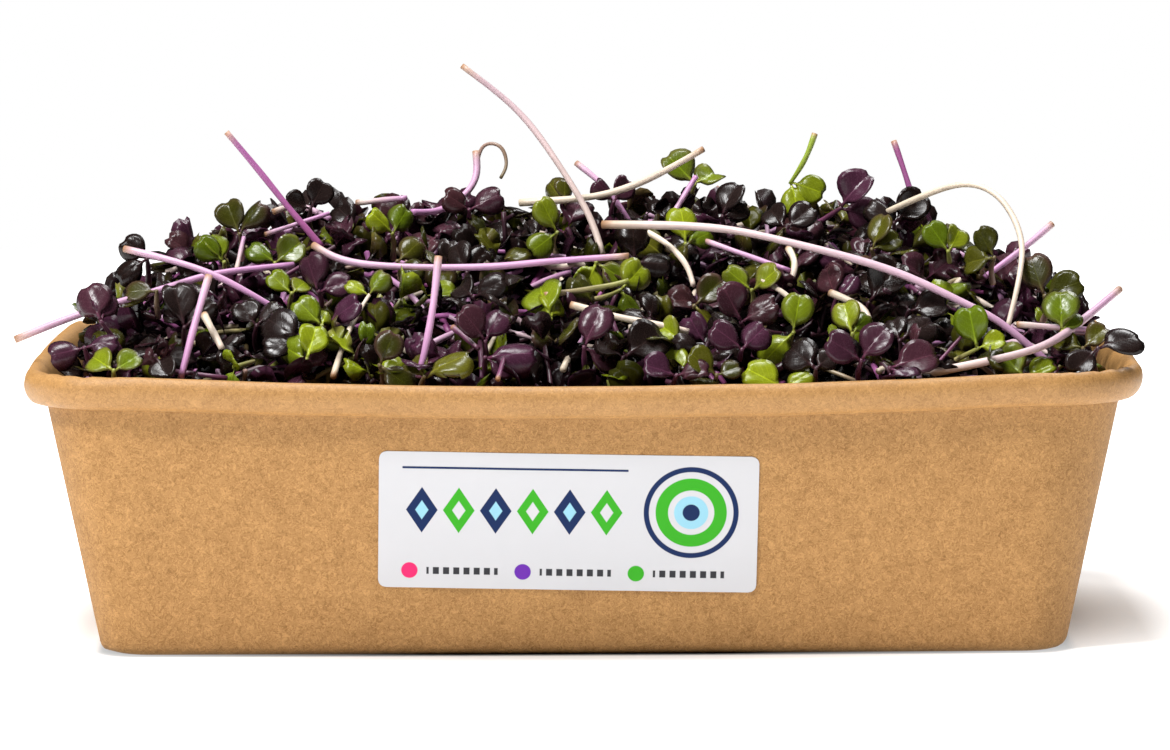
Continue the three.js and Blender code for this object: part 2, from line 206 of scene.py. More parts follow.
# Each lamp has a place and a size in metres and a power in watts.
LAMPS = {
    "top_softbox": ((-0.12, 0.0, 1.1), (0.5, 0.35), 12.5),
    "key_softbox": ((-0.66, -0.66, 1.02), (0.26, 0.26), 16.5),
    "back_softbox": ((0.35, 0.7, 0.8), (0.3, 0.3), 3.0),
}
LAMP_TARGET = Vector((0, 0, 40 * MM))
for name, (lamp_place, lamp_size, power) in LAMPS.items():
    lamp = bpy.data.lights.new(name, "AREA")
    lamp.shape = "RECTANGLE"
    lamp.size, lamp.size_y = lamp_size
    lamp.energy = power
    holder = bpy.data.objects.new(name, lamp)
    holder.location = lamp_place
    holder.rotation_euler = (LAMP_TARGET - Vector(lamp_place)).to_track_quat("-Z", "Y").to_euler()
    scene.collection.objects.link(holder)

# ---- Kraft tub wall ----
# One blank of kraft board, rolled round and lapped at the left front corner. Its top edge is rolled
# outward into a bead, and its foot is folded up inside as a hem that holds the base.
TUB_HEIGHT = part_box("tub_wall")[1].z
TOP_HALF = (82.6 * MM, 55.4 * MM)
FOOT_CORNER = 7.5 * MM
TOP_CORNER = 15 * MM
FOOT_BOW = (0.2 * MM, 0.4 * MM)
TOP_BOW = (0.6 * MM, 2.4 * MM)
RIM_SAG = 1.4 * MM
BOARD = 0.5 * MM
BEAD_RADIUS = 2.55 * MM
BEAD_REACH = 1.75 * MM
BEAD_CENTRE = TUB_HEIGHT - BEAD_RADIUS
HEM_HEIGHT = 5.2 * MM
HEM_INNER = 2.1 * MM
LAP = 9 * MM
LAP_RISE = 0.62 * MM
SEAM_TURN = 0.8
AROUND = 420
RIPPLE_OUT, RIPPLE_UP = 0.12 * MM, 0.10 * MM
CRIMP_CENTRE = (66 * MM, 40 * MM)
PLEAT_DOWN, PLEAT_IN = 0.35 * MM, 0.15 * MM
DARK_KRAFT, PALE_KRAFT = colour(0.245, 0.114, 0.030), colour(0.56, 0.305, 0.108)


def mix(low, high, share):
    return low + (high - low) * share


def outline(round_share, z, outward):
    """Points on the wall's outline at shares of its round trip from the seam, at heights z and
    offsets outward. All are arrays of one shape; corners, sides, bow and sag follow the height."""
    t = z / BEAD_CENTRE
    half_x = mix(FOOT_HALF[0], TOP_HALF[0], t) + outward
    half_y = mix(FOOT_HALF[1], TOP_HALF[1], t) + outward
    corner = np.maximum(mix(FOOT_CORNER, TOP_CORNER, t) + outward, 1 * MM)
    bow_x = mix(FOOT_BOW[0], TOP_BOW[0], t)
    bow_y = mix(FOOT_BOW[1], TOP_BOW[1], t)
    # Lengths of the round trip at the rim share it out: front, corner, right, corner and so on.
    arc = math.pi / 2 * TOP_CORNER
    long_side = 2 * (TOP_HALF[0] - TOP_CORNER)
    short_side = 2 * (TOP_HALF[1] - TOP_CORNER)
    lengths = [long_side, arc, short_side, arc, long_side, arc, short_side, arc]
    ends = np.cumsum(lengths)
    travelled = (round_share * ends[-1] - SEAM_TURN * arc) % ends[-1]
    x = np.zeros_like(z)
    y = np.zeros_like(z)
    lower = np.zeros_like(z)
    signs = [(1, -1), (1, 1), (-1, 1), (-1, -1)]
    for k in range(8):
        here = (travelled >= ends[k] - lengths[k]) & (travelled < ends[k])
        along = (travelled - (ends[k] - lengths[k])) / lengths[k]
        sx, sy = signs[k // 2]
        if k % 2:
            angle = math.pi / 2 * (k // 2 - 1 + along)
            x = np.where(here, sx * (half_x - corner) + corner * np.cos(angle), x)
            y = np.where(here, sy * (half_y - corner) + corner * np.sin(angle), y)
            continue
        across = 2 * along - 1
        bulge = 1 - across ** 2
        if k % 4 == 0:
            facing = -1 if k == 0 else 1
            x = np.where(here, -facing * across * (half_x - corner), x)
            y = np.where(here, facing * (half_y + bow_y * bulge), y)
            lower = np.where(here, RIM_SAG * np.clip(t, 0, None) * bulge, lower)
        else:
            facing = 1 if k == 2 else -1
            x = np.where(here, facing * (half_x + bow_x * bulge), x)
            y = np.where(here, facing * across * (half_y - corner), y)
    return np.stack([x, y, z - lower], axis=-1)


def wall_section():
    """The outer face of the board from the hem's inner edge round the foot, up and into the curl,
    as (outward, height) pairs."""
    points = []
    for k in range(6):
        points.append((-HEM_INNER, mix(HEM_HEIGHT, 0.35 * MM, k / 5)))
    points.append((-HEM_INNER + 0.1 * MM, 0.1 * MM))
    points.append((-HEM_INNER + 0.3 * MM, 0.0))
    points.append((-1.5 * MM, 0.02 * MM))
    points.append((-0.9 * MM, 0.2 * MM))
    points.append((-0.4 * MM, 0.58 * MM))
    points.append((-0.1 * MM, 1.1 * MM))
    for k in range(15):
        points.append((0.0, mix(1.7 * MM, BEAD_CENTRE - 1.15 * BEAD_RADIUS, k / 14)))
    # The outer face of the wall is the inner face of the roll.
    reach, rise = BEAD_REACH - BOARD, BEAD_RADIUS - BOARD
    for k in range(25):
        angle = math.pi - 1.6 * math.pi * k / 24
        points.append((reach + reach * math.cos(angle), BEAD_CENTRE + rise * math.sin(angle)))
    return points


def add_grid(name, across, up, size):
    """A flat grid primitive, the only thing selected, and its points."""
    bpy.ops.object.select_all(action="DESELECT")
    bpy.ops.mesh.primitive_grid_add(x_subdivisions=across, y_subdivisions=up, size=size)
    grid = bpy.context.active_object
    grid.name = name
    points = np.zeros(len(grid.data.vertices) * 3)
    grid.data.vertices.foreach_get("co", points)
    return grid, points.reshape(-1, 3)


def place_points(piece, points):
    piece.data.vertices.foreach_set("co", points.ravel())
    piece.data.update()


def align_faces():
    """Makes the active piece's faces agree on which side is out."""
    bpy.ops.object.mode_set(mode="EDIT")
    bpy.ops.mesh.select_all(action="SELECT")
    bpy.ops.mesh.normals_make_consistent(inside=False)
    bpy.ops.object.mode_set(mode="OBJECT")


def thicken(piece, thickness, smooth_angle):
    """Gives an open sheet its thickness, inward from its face."""
    solid = piece.modifiers.new("board", "SOLIDIFY")
    solid.thickness = thickness
    solid.offset = -1
    bpy.ops.object.modifier_apply(modifier="board")
    bpy.ops.object.shade_smooth_by_angle(angle=math.radians(smooth_angle))


def stand_for(piece, node):
    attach(piece, "root")
    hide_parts(node)


section = np.array(wall_section())
last_step = len(section) - 1
tub, flat = add_grid("kraft_tub_wall", AROUND, last_step, 2)
step = np.rint((flat[:, 1] + 1) / 2 * last_step).astype(int)
lap_share = LAP / (2 * math.pi * TOP_CORNER + 4 * (TOP_HALF[0] + TOP_HALF[1] - 2 * TOP_CORNER))
trip = (flat[:, 0] + 1) / 2 * (1 + lap_share)
eased = np.clip((1.6 * lap_share - trip) / (0.6 * lap_share), 0, 1)
rise = LAP_RISE * eased * eased * (3 - 2 * eased)
rng = np.random.default_rng(11)


def waves(share, count, low, high):
    """A smooth random ripple along the round trip, between -1 and 1."""
    total = np.zeros_like(share)
    for _ in range(count):
        cycles = rng.integers(low, high)
        total += np.sin(2 * math.pi * (cycles * share + rng.random())) / count
    return total


outward, height = section[step].T
in_bead = np.clip((height - (BEAD_CENTRE - 1.2 * BEAD_RADIUS)) / (0.4 * BEAD_RADIUS), 0, 1)
ripple = waves(trip, 9, 6, 40) * RIPPLE_OUT
outward = outward + rise * np.where(step < 10, 0, 1) + ripple * in_bead
height = height + waves(trip, 7, 5, 30) * RIPPLE_UP * in_bead
placed = outline(trip % 1.0, height, outward)


def corner_share(point):
    """1 in the middle of a rounded corner, 0 on the sides."""
    dx = np.clip(np.abs(point[:, 0]) - (TOP_HALF[0] - TOP_CORNER), 0, None)
    dy = np.clip(np.abs(point[:, 1]) - (TOP_HALF[1] - TOP_CORNER), 0, None)
    return np.clip(2 * np.minimum(dx, dy) / (0.7 * TOP_CORNER), 0, 1)


# Small pleats fan round each corner of the bead.
crimp = corner_share(placed) * np.clip((height - BEAD_CENTRE) / BEAD_RADIUS, 0, 1)
fan = np.arctan2(np.abs(placed[:, 1]) - CRIMP_CENTRE[1], np.abs(placed[:, 0]) - CRIMP_CENTRE[0])
pleat = np.cos(fan * 14 + np.sign(placed[:, 0]) * 1.3) ** 8 * crimp
placed[:, 2] -= pleat * PLEAT_DOWN
placed[:, 0] -= np.sign(placed[:, 0]) * pleat * PLEAT_IN
place_points(tub, placed)
tub.data.attributes.new("roll", "FLOAT", "POINT").data.foreach_set("value", in_bead)
align_faces()
front = [p for p in tub.data.polygons if abs(p.center.x) < 9 * MM and p.center.y < -50 * MM]
if front[0].normal.y > 0:
    tub.data.flip_normals()
thicken(tub, BOARD, 50)

kraft, shader, place = start_material("kraft_board")
mottle = place.noise(0.16, 4, 0.6)
cloud = place.noise(0.5, 3, 0.6)
pale_fibre = 1.0 - ((place.noise(0.85, 2, 0.5, 0.9) - 0.5).size() * 22.0).clamped()
other_place = place.vector("ADD", (31.0, 17.0, 53.0))
dark_fibre = 1.0 - ((other_place.noise(0.95, 2, 0.5, 0.9) - 0.5).size() * 22.0).clamped()
grain = place.noise(3.6, 3, 0.7, 1.0)
rolled = place.attribute("roll", "Fac")
uneven = (pale_fibre - dark_fibre) * 0.36 + (grain - 0.5) * 1.1
uneven = uneven + (cloud - 0.5) * 0.45 + (mottle - 0.5) * 0.4
# The bead's colour is lifted a little above the wall's, a painted highlight, and its mottle is evened out.
tone = uneven * (1.0 - rolled * 0.3) + 0.5 + rolled * 0.07
tone.clamped().blend(DARK_KRAFT, PALE_KRAFT).feed(shader, "Base Color")
(grain * 0.2 + 0.58 - rolled * 0.22).feed(shader, "Roughness")
shader.inputs["Specular IOR Level"].default_value = 0.35
(pale_fibre * 0.5 - dark_fibre * 0.5 + grain).bump(0.3, 0.00012).feed(shader, "Normal")
tub.data.materials.append(kraft)
stand_for(tub, "tub_wall")

# ---- Kraft base ----
# A panel of the same board, recessed under the greens, with its edge turned down into the wall's
# hem. Its shape is plain, so it keeps its own mesh.
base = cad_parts["tub_base"]
base.data.materials.clear()
base.data.materials.append(kraft)

# ---- Front sticker ----
# A white coated paper label with rounded corners, pressed onto the bowed front wall and printed with
# a plain band of lozenges, a roundel and a row of dots.
STICKER_WIDTH = 57.5 * MM
STICKER_HEIGHT = 21.5 * MM
STICKER_CORNER = 1.2 * MM
STICKER_TURN = math.radians(-1.2)
STICKER_THICK = 0.11 * MM
STICKER_LIFT = 0.03 * MM
STICKER_BUCKLE = 0.05 * MM
sticker_low, sticker_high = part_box("front_sticker")
middle = (sticker_low + sticker_high) / 2
wall_slope = math.atan2(TOP_HALF[1] - FOOT_HALF[1], BEAD_CENTRE)

sticker, flat = add_grid("printed_sticker", 96, 36, 1)
across = flat[:, 0] * STICKER_WIDTH
up = flat[:, 1] * STICKER_HEIGHT
from_x = np.clip(np.abs(across) - (STICKER_WIDTH / 2 - STICKER_CORNER), 0, None)
from_y = np.clip(np.abs(up) - (STICKER_HEIGHT / 2 - STICKER_CORNER), 0, None)
reach = np.hypot(from_x, from_y)
shrink = np.where(reach > 0, np.maximum(from_x, from_y) / np.maximum(reach, 1e-9), 1)
across = np.sign(across) * (np.abs(across) - from_x + from_x * shrink)
up = np.sign(up) * (np.abs(up) - from_y + from_y * shrink)
x = middle.x + across * math.cos(STICKER_TURN) - up * math.sin(STICKER_TURN)
z = middle.z + (across * math.sin(STICKER_TURN) + up * math.cos(STICKER_TURN)) * math.cos(wall_slope)


def front_wall(x, z):
    """The wall's outer face on the front, as y."""
    t = z / BEAD_CENTRE
    straight = mix(FOOT_HALF[0], TOP_HALF[0], t) - mix(FOOT_CORNER, TOP_CORNER, t)
    bulge = 1 - (x / straight) ** 2
    return -(mix(FOOT_HALF[1], TOP_HALF[1], t) + mix(FOOT_BOW[1], TOP_BOW[1], t) * bulge)


waviness = 1 + np.sin(across / MM * 0.35 + 1.0) * np.sin(up / MM * 0.5 + 0.4)
y = front_wall(x, z + RIM_SAG * 0.5) - STICKER_LIFT - STICKER_THICK - STICKER_BUCKLE * waviness
place_points(sticker, np.stack([x, y, z], axis=-1))
spot = np.stack([across / MM, up / MM], axis=-1)
sticker.data.attributes.new("spot", "FLOAT2", "POINT").data.foreach_set("vector", spot.ravel())
align_faces()
if sticker.data.polygons[0].normal.y > 0:
    sticker.data.flip_normals()
thicken(sticker, STICKER_THICK, 40)

label, shader, place = start_material("sticker_paper")
print_x = place.node("ShaderNodeSeparateXYZ", {}, {0: place.attribute("spot", "Vector")})
print_y = Wire(print_x.tree, print_x.socket.node.outputs[1])
WHITE = colour(0.575, 0.575, 0.595)
NAVY = colour(0.002, 0.016, 0.080)
GREEN = colour(0.035, 0.36, 0.012)
SKY = colour(0.28, 0.56, 0.68)
PINK = colour(0.72, 0.02, 0.14)
VIOLET = colour(0.13, 0.02, 0.36)
GREY = colour(0.03, 0.03, 0.035)
SOFT = 0.06


def inside(distance):
    """1 where a distance in millimetres is below zero, with a soft edge."""
    return 1.0 - distance.ramp(-SOFT, SOFT)


def box_distance(x0, x1, y0, y1, corner):
    cx, cy = (x0 + x1) / 2, (y0 + y1) / 2
    dx = (print_x - cx).size() - ((x1 - x0) / 2 - corner)
    dy = (print_y - cy).size() - ((y1 - y0) / 2 - corner)
    dx = dx.maths("MAXIMUM", dx, 0.0)
    dy = dy.maths("MAXIMUM", dy, 0.0)
    return (dx * dx + dy * dy).power(0.5) - corner


def disc_distance(cx, cy, radius):
    dx = print_x - cx
    dy = print_y - cy
    return (dx * dx + dy * dy).power(0.5) - radius


LOZENGE = 5.6
BAND_LEFT = -25.0
BAND_RIGHT = 8.6
BAND_MIDDLE = 1.6
BAND_HALF = 4.2
LOZENGE_SIZE, CORE_SIZE = 0.86, 0.36
ROUNDEL = (18.6, 1.8)
DOT_ROW, DOT_GAP, FIRST_DOT, DOT_RADIUS = -8.0, 17.2, -24.0, 1.25
TICK_GAP, TICK_START, TICKS_HALF, TICK_HALF_HEIGHT = 1.55, 8.0, 5.42, 0.55
TICK_SHARE, TICK_LEAD = 0.3, 1.4
cell = (print_x - BAND_LEFT) / LOZENGE
index = cell.maths("FLOOR", cell)
within = (cell - index - 0.5) * LOZENGE
from_middle = within.size() / (LOZENGE / 2) + (print_y - BAND_MIDDLE).size() / BAND_HALF
in_band = inside((print_x - (BAND_LEFT + BAND_RIGHT) / 2).size() - (BAND_RIGHT - BAND_LEFT) / 2)
is_lozenge = (1.0 - (from_middle - LOZENGE_SIZE).ramp(-0.02, 0.02)) * in_band
odd = index.maths("FLOORED_MODULO", index, 2.0)
is_core = (1.0 - (from_middle - CORE_SIZE).ramp(-0.03, 0.03)) * in_band
face = is_lozenge.blend(WHITE, odd.blend(NAVY, GREEN))
face = is_core.blend(face, odd.blend(SKY, WHITE))
for radius, tone in ((7.2, NAVY), (6.4, WHITE), (5.4, GREEN), (3.5, WHITE), (2.6, SKY), (1.3, NAVY)):
    face = inside(disc_distance(*ROUNDEL, radius)).blend(face, tone)
for k, tone in enumerate((PINK, VIOLET, GREEN)):
    dot_x = FIRST_DOT + DOT_GAP * k
    face = inside(disc_distance(dot_x, DOT_ROW, DOT_RADIUS)).blend(face, tone)
    tick = (print_x - (dot_x - TICK_LEAD)) / TICK_GAP
    tick = (tick - tick.maths("FLOOR", tick) - 0.5).size() - TICK_SHARE
    beyond_row = (print_x - (dot_x + TICK_START)).size() - TICKS_HALF
    row = tick.maths("MAXIMUM", beyond_row, (print_y - DOT_ROW).size() - TICK_HALF_HEIGHT)
    face = (inside(row) * (1.0 - tick.ramp(-0.04, 0.04))).blend(face, GREY)
face = inside(box_distance(-25.2, 9.0, 8.1, 8.45, 0.1)).blend(face, NAVY)
face.feed(shader, "Base Color")
shader.inputs["Specular IOR Level"].default_value = 0.15
(place.noise(0.4, 2) * 0.12 + 0.34).feed(shader, "Roughness")
place.noise(0.25, 2).bump(0.12, 0.0004).feed(shader, "Normal")
sticker.data.materials.append(label)
stand_for(sticker, "front_sticker")

# ---- Bare stems over the heap ----
# Cut stems that lost their leaves or reach out of the heap: smooth, moist and finely streaked, each
# laid along its own route, with a dried tan cut at its ends. Their colours ride on the mesh.
STEM_COLOURS = {
    "pink": ((0.66, 0.42, 0.56), (0.50, 0.22, 0.44)),
    "magenta": ((0.34, 0.08, 0.24), (0.42, 0.14, 0.36)),
    "cream": ((0.74, 0.62, 0.47), (0.74, 0.60, 0.50)),
    "mauve": ((0.72, 0.58, 0.50), (0.50, 0.34, 0.40)),
    "white_pink": ((0.74, 0.60, 0.52), (0.52, 0.27, 0.46)),
    "lime": ((0.42, 0.30, 0.20), (0.27, 0.29, 0.05)),
    "bright": ((0.30, 0.40, 0.03), (0.26, 0.34, 0.03)),
    "dark": ((0.07, 0.020, 0.035), (0.05, 0.016, 0.026)),
    "plum": ((0.20, 0.055, 0.13), (0.10, 0.028, 0.055)),
    "tan": ((0.40, 0.24, 0.20), (0.14, 0.10, 0.04)),
}
CUT_COLOUR = (0.38, 0.20, 0.10)
DRY_COLOUR = (0.56, 0.40, 0.27)


def curve_through(route, steps):
    """Evenly spaced points on a smooth curve through a route's points."""
    points = np.array(route, float)
    if len(points) == 2:
        points = np.vstack([points[0], (points[0] + points[1]) / 2, points[1]])
    padded = np.vstack([2 * points[0] - points[1], points, 2 * points[-1] - points[-2]])
    fine = []
    for k in range(len(points) - 1):
        a, b, c, d = padded[k:k + 4]
        for t in np.linspace(0, 1, 12, endpoint=False):
            fine.append(0.5 * (2 * b + (c - a) * t + (2 * a - 5 * b + 4 * c - d) * t ** 2
                               + (3 * b - a - 3 * c + d) * t ** 3))
    fine.append(points[-1])
    fine = np.array(fine)
    for _ in range(30):
        fine[1:-1] = (fine[:-2] + 2 * fine[1:-1] + fine[2:]) / 4
    gaps = np.linalg.norm(np.diff(fine, axis=0), axis=1)
    travelled = np.concatenate([[0], np.cumsum(gaps)])
    wanted = np.linspace(0, travelled[-1], steps + 1)
    return np.stack([np.interp(wanted, travelled, fine[:, k]) for k in range(3)], axis=-1)


def stem_copy(route, radius, sides, steps, taper=1.0):
    """Vertices, faces and places (share along, turn) of a round stem along a route."""
    line = curve_through(route, steps)
    tangent = np.gradient(line, axis=0)
    tangent /= np.linalg.norm(tangent, axis=1)[:, None]
    guide = np.array([0.31, -0.83, 0.46])
    side = np.cross(tangent, guide)
    side /= np.linalg.norm(side, axis=1)[:, None]
    other = np.cross(tangent, side)
    share = np.linspace(0, 1, steps + 1)
    thick = radius * (1 + 0.10 * np.cos(share * 9.0) * np.sin(share * 4.0)) * mix(1.0, taper, share ** 2)
    turn = np.arange(sides) / sides
    ring = (np.cos(2 * math.pi * turn)[None, :, None] * side[:, None, :]
            + np.sin(2 * math.pi * turn)[None, :, None] * other[:, None, :])
    points = line[:, None, :] + ring * thick[:, None, None]
    points = points.reshape(-1, 3)
    faces = []
    for k in range(steps):
        for j in range(sides):
            nxt = (j + 1) % sides
            low, high = k * sides, (k + 1) * sides
            faces.append((low + j, high + j, high + nxt, low + nxt))
    faces.append(tuple(range(sides)))
    faces.append(tuple(steps * sides + j for j in reversed(range(sides))))
    place = np.stack([np.repeat(share, sides), np.tile(turn, steps + 1)], axis=-1)
    return points, faces, place, line, tangent


class Bunch:
    """The mesh of one piece, gathered leaf by leaf and stem by stem."""

    def __init__(self):
        self.points, self.faces, self.places, self.tints, self.kinds = [], [], [], [], []
        self.count = 0

    def add(self, points, faces, place, tint, kind):
        self.points.append(points)
        self.faces += [tuple(k + self.count for k in face) for face in faces]
        self.places.append(place)
        self.tints.append(tint)
        self.kinds += [kind] * len(faces)
        self.count += len(points)

    def finish(self, name, materials):
        mesh = bpy.data.meshes.new(name)
        points = np.vstack(self.points)
        mesh.from_pydata(points.tolist(), [], self.faces)
        mesh.polygons.foreach_set("material_index", self.kinds)
        tint = np.vstack(self.tints)
        tint = np.hstack([np.clip(tint, 0, 1), np.ones((len(tint), 1))])
        mesh.attributes.new("tint", "FLOAT_COLOR", "POINT").data.foreach_set("color", tint.ravel())
        place = np.vstack(self.places)
        mesh.attributes.new("place", "FLOAT2", "POINT").data.foreach_set("vector", place.ravel())
        mesh.polygons.foreach_set("use_smooth", [True] * len(mesh.polygons))
        mesh.update()
        piece = bpy.data.objects.new(name, mesh)
        scene.collection.objects.link(piece)
        for material in materials:
            mesh.materials.append(material)
        return piece


def stem_tint(kind, place, cut_ends):
    low, high = (np.array(c) for c in STEM_COLOURS[kind])
    share = place[:, :1]
    tint = mix(low, high, share)
    for end in cut_ends:
        tint = mix(tint, np.array(DRY_COLOUR), 0.8 * np.exp(-(np.abs(share - end) / 0.07) ** 2))
        tint = mix(tint, np.array(CUT_COLOUR), np.exp(-(np.abs(share - end) / 0.02) ** 2))
    return tint


def add_stem(bunch, kind, route, radius, taper, cut_ends):
    """A finely made stem along a route in millimetres; its line and tangents are handed back."""
    steps = 6 * (len(route) - 1) + 4
    points, faces, place, line, tangent = stem_copy(route, radius, 10, steps, taper)
    bunch.add(points * MM, faces, place, stem_tint(kind, place, cut_ends), 0)
    return line, tangent


stem_skin, shader, place = start_material("stem_skin")
streak = place.noise(0.9, 2, 0.5)
mottle = place.noise(0.25, 2, 0.5)
place.attribute("tint", "Color").scaled(0.78 + streak * 0.14 + mottle * 0.30).feed(shader, "Base Color")
(0.34 + mottle * 0.15).feed(shader, "Roughness")
streak.bump(0.10, 0.0001).feed(shader, "Normal")

BARE_TAPER = 0.8
# Name, colour, radius and route in millimetres, and the ends that show a dried cut.
BARE_STEMS = [
    ("stem_tall_arch", "mauve", 0.54,
     [(3, -18, 59), (1, -15, 65), (-4, -12, 73), (-10, -8, 81), (-19, -6, 88)], (1.0,)),
    ("stem_magenta_left", "magenta", 0.54,
     [(-41, -15, 60), (-47, -13, 67), (-51, -12, 72), (-56, -12, 78)], (1.0,)),
    ("stem_pink_left", "pink", 0.54, [(-71, -30, 61), (-58, -35, 58), (-47, -37, 52)], (0.0,)),
    ("stem_long_left", "pink", 0.61,
     [(-88, -30, 47), (-78, -31, 51), (-64, -30, 55), (-57, -28, 57), (-45, -25, 58)], (0.0,)),
    ("stem_pink_middle", "pink", 0.58,
     [(-42, -24, 61), (-38, -27, 59), (-31, -29, 58), (-15, -32, 58), (-6, -34, 59), (7, -36, 60)],
     (0.0, 1.0)),
    ("stem_upright_left", "pink", 0.61, [(-57, -46, 58), (-59, -50, 51), (-61, -53, 43)], (0.0,)),
    ("stem_upright_middle", "pink", 0.61, [(-22, -49, 61), (-23, -52, 52), (-25, -54, 43)], (0.0,)),
    ("stem_white_top", "cream", 0.61,
     [(-10, -2, 66), (1, -6, 67), (8, -8, 69), (14, -10, 72), (19, -12, 75)], (1.0,)),
    ("stem_long_right", "white_pink", 0.65,
     [(3, -24, 64), (20, -30, 64), (31, -34, 62), (47, -38, 58), (58, -42, 53), (64, -44, 50),
      (72, -45, 43)],
     (0.0,)),
    ("stem_cream_arch", "cream", 0.5,
     [(48, -12, 65), (54, -16, 68), (60, -20, 70), (65, -24, 68), (68, -29, 62), (67, -36, 56),
      (65, -40, 49)],
     ()),
    ("stem_pink_right", "pink", 0.54, [(74, -12, 63), (69, -14, 59), (63, -17, 55)], (0.0,)),
    ("stem_thick_right", "white_pink", 0.68,
     [(51, -53, 43), (61, -53, 45), (70, -50, 47), (76, -42, 50), (83, -30, 54)], (1.0,)),
    ("stem_purple_back", "magenta", 0.5, [(50, 8, 75), (52, 6, 69), (54, 5, 62)], (0.0,)),
    ("stem_pink_top", "pink", 0.5, [(-1, 3, 72), (4, 0, 68), (8, -2, 62)], (0.0,)),
    ("stem_cream_low", "cream", 0.58, [(-2, -42, 53), (6, -44, 51), (12, -45, 50), (16, -45, 49)], (0.0,)),
]
for name, kind, radius, route, cuts in BARE_STEMS:
    bunch = Bunch()
    add_stem(bunch, kind, route, radius, BARE_TAPER, cuts)
    piece = bunch.finish("bare_" + name, [stem_skin])
    stand_for(piece, name)

# ---- Sprouts at the surface ----
# The sprouts that show, each a stem from its cut foot up to a pair of fleshy, glossy seed leaves. A
# leaf is a disc inset into rings, drawn to a heart with a short stalk and given two faces; it is
# paler at its stalk and on its midrib and purple underneath.
HEART = [
    (0.0, 0.05), (0.08, 0.045), (0.16, 0.055), (0.20, 0.12), (0.26, 0.28), (0.36, 0.43), (0.50, 0.525),
    (0.66, 0.545), (0.81, 0.49), (0.92, 0.37), (0.985, 0.21), (0.97, 0.10), (0.93, 0.03), (0.90, 0.0),
]


def heart_edge(turns):
    """The leaf's edge at turns from 0 (its stalk) through 0.5 (the notch) to 1, as x and y."""
    half = np.array(HEART)
    full = np.vstack([[(-0.0, 0.0)], half, half[-2::-1] * (1, -1)])
    gaps = np.hypot(*np.diff(np.vstack([full, full[:1]]), axis=0).T)
    travelled = np.concatenate([[0], np.cumsum(gaps)])
    loop = np.vstack([full, full[:1]])
    share = travelled / travelled[-1]
    return np.stack([np.interp(turns, share, loop[:, 0]), np.interp(turns, share, loop[:, 1])], axis=-1)


def leaf_pattern(segments, rings):
    """A disc with rings as (turn, radius) for each vertex, its faces, and those of its underside,
    which is a plain fan on the small leaf."""
    bpy.ops.object.select_all(action="DESELECT")
    bpy.ops.mesh.primitive_circle_add(vertices=segments, radius=1, fill_type="NGON")
    disc = bpy.context.active_object
    bpy.ops.object.mode_set(mode="EDIT")
    bpy.ops.mesh.select_all(action="SELECT")
    for _ in range(rings - 1):
        bpy.ops.mesh.inset(thickness=1.0 / rings)
    bpy.ops.mesh.poke()
    bpy.ops.object.mode_set(mode="OBJECT")
    flat = np.array([v.co[:] for v in disc.data.vertices])
    faces = [tuple(p.vertices) for p in disc.data.polygons]
    bpy.data.objects.remove(disc)
    radius = np.round(np.hypot(flat[:, 0], flat[:, 1]) * rings) / rings
    turn = (np.arctan2(flat[:, 1], flat[:, 0]) / (2 * math.pi) + 0.5) % 1.0
    under = faces
    if rings < 3:
        rim = sorted(np.flatnonzero(radius > 0.999), key=lambda k: turn[k])
        centre = int(np.argmin(radius))
        under = [(int(rim[k - 1]), int(rim[k]), centre) for k in range(len(rim))]
    return turn, radius, faces, under


LEAF_MIDDLE = np.array([0.58, 0.0])


def leaf_copy(pattern, length, cup, droop, fold, wave, puff, width, seed):
    """Vertices of one two-faced leaf of a length, growing along +X with its face up, its faces, and
    the place of each vertex on the blade."""
    turn, radius, faces, under_faces = pattern
    edge = heart_edge(turn)
    flat = LEAF_MIDDLE + (edge - LEAF_MIDDLE) * radius[:, None]
    u, v = flat[:, 0], flat[:, 1]
    swing = 2 * math.pi * turn
    rise = cup * v ** 2 * 2.0 - droop * np.clip(u - 0.2, 0, None) ** 2 + fold * np.abs(v)
    rise += puff * np.sin(np.pi * np.clip(np.abs(v) / 0.47, 0, 1)) * (1 - radius ** 4)
    rise += wave * radius ** 3 * np.sin(3 * swing + seed)
    rise += 0.4 * wave * radius ** 2 * np.sin(5 * swing + 2.3 * seed)
    thick = (0.05 + 0.05 * np.exp(-(u / 0.15) ** 2)) * np.sqrt(np.clip(1 - radius ** 6, 0, 1))
    top = np.stack([u, v * width, rise + thick / 2], axis=-1) * length
    under = np.stack([u, v * width, rise - thick / 2], axis=-1) * length
    count = len(u)
    rim = radius > 0.999
    lower = np.where(rim, np.arange(count), np.arange(count) + count)
    points = np.vstack([top, under])
    all_faces = list(faces) + [tuple(lower[k] for k in reversed(face)) for face in under_faces]
    place = np.vstack([flat, flat])
    side = np.concatenate([np.zeros(count), np.ones(count)])
    kept = np.unique(np.concatenate([np.array(f) for f in all_faces]))
    new_index = -np.ones(2 * count, int)
    new_index[kept] = np.arange(len(kept))
    all_faces = [tuple(int(new_index[k]) for k in face) for face in all_faces]
    return points[kept], all_faces, place[kept], side[kept], np.concatenate([radius, radius])[kept]


